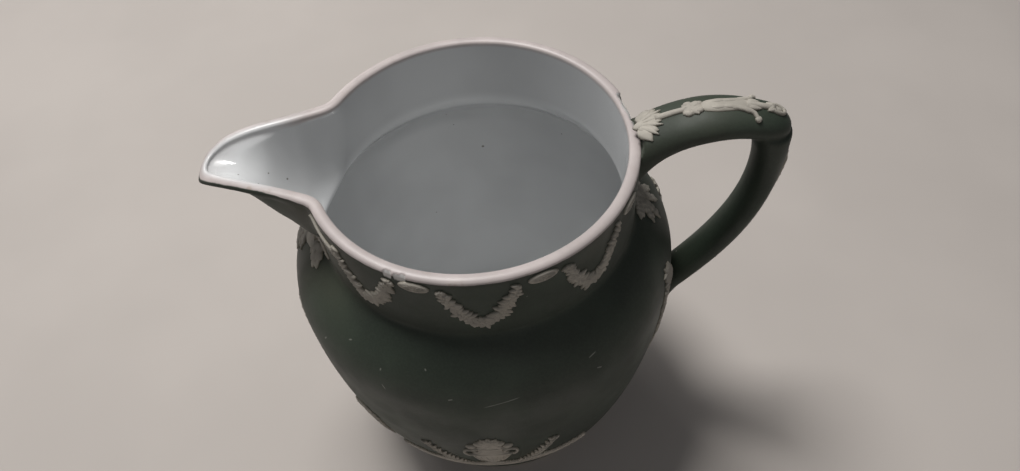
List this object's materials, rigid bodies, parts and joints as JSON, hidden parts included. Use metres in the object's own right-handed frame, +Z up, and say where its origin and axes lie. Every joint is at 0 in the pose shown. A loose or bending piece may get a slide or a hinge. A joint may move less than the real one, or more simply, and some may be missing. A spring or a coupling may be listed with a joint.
{
  "type": "oinochoe jug",
  "caption": "Small round-bellied stoneware jug with a short cylindrical neck, a pressed pouring spout, a loop handle and thin applied relief ornament.",
  "frame": {"origin": "on the axis of the turned body, in the plane that the foot ring stands on", "axes": "+Z up along the body's axis; +X towards the handle, so the spout points to -X; +Y to the side, the jug being alike on both sides of the XZ plane"},
  "size_m": [0.1589, 0.1124, 0.1378],
  "materials": {
    "green_dipped_stoneware": "matt dark green slip dip over white stoneware, clear glaze inside and on the lip",
    "white_sprig": "unglazed off-white stoneware, fine and matt"
  },
  "bodies": {
    "root": {"handle": "green_dipped_stoneware", "handle_bud": "white_sprig", "handle_fan_leaf": "white_sprig", "handle_first_husk": "white_sprig", "handle_first_stem": "white_sprig", "handle_limb_leaf": "white_sprig", "handle_root_leaf": "white_sprig", "handle_second_husk": "white_sprig", "handle_second_stem": "white_sprig", "handle_tendril_back": "white_sprig", "handle_tendril_front": "white_sprig", "neck_patera_back_1": "white_sprig", "neck_patera_back_2": "white_sprig", "neck_patera_back_3": "white_sprig", "neck_patera_front_1": "white_sprig", "neck_patera_front_2": "white_sprig", "neck_patera_front_3": "white_sprig", "neck_swag_back_1": "white_sprig", "neck_swag_back_2": "white_sprig", "neck_swag_back_3": "white_sprig", "neck_swag_front_1": "white_sprig", "neck_swag_front_2": "white_sprig", "neck_swag_front_3": "white_sprig", "pouring_spout": "green_dipped_stoneware", "shrub_back": "white_sprig", "shrub_front": "white_sprig", "spout_leaf": "white_sprig", "tree_by_handle_back": "white_sprig", "tree_by_handle_front": "white_sprig", "tree_by_spout_back": "white_sprig", "tree_by_spout_front": "white_sprig", "urn_on_ground_back": "white_sprig", "urn_on_ground_front": "white_sprig", "vessel_body": "green_dipped_stoneware"}
  },
  "joints": []
}
